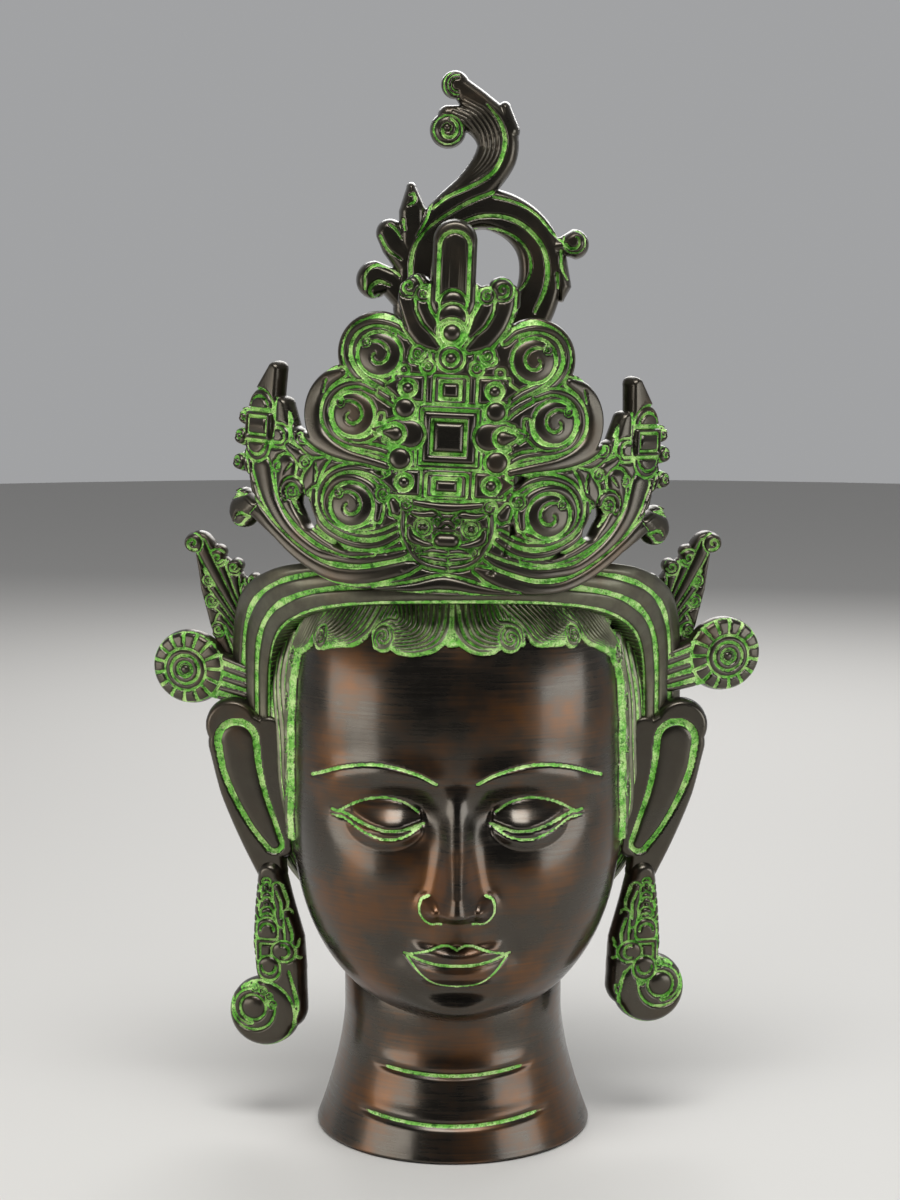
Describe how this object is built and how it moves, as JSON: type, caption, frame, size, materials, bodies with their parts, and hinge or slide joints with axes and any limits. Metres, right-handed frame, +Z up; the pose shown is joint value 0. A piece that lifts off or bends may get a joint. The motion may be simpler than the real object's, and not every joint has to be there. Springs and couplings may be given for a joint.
{
  "type": "bodhisattva head",
  "caption": "Cast brass bodhisattva head with a tall leaf crown, flame plume, long ears with earrings and a flared neck to stand on.",
  "frame": {"origin": "centre of the flat underside of the neck, on the surface it stands on", "axes": "+Z up, the face looks along -Y, +X to the right seen from the front"},
  "size_m": [0.25, 0.1575, 0.4293],
  "materials": {
    "patinated_brass": "dark brown to black polished patina with green verdigris in the recesses"
  },
  "bodies": {
    "root": {"bodhisattva_head": "patinated_brass"}
  },
  "joints": []
}
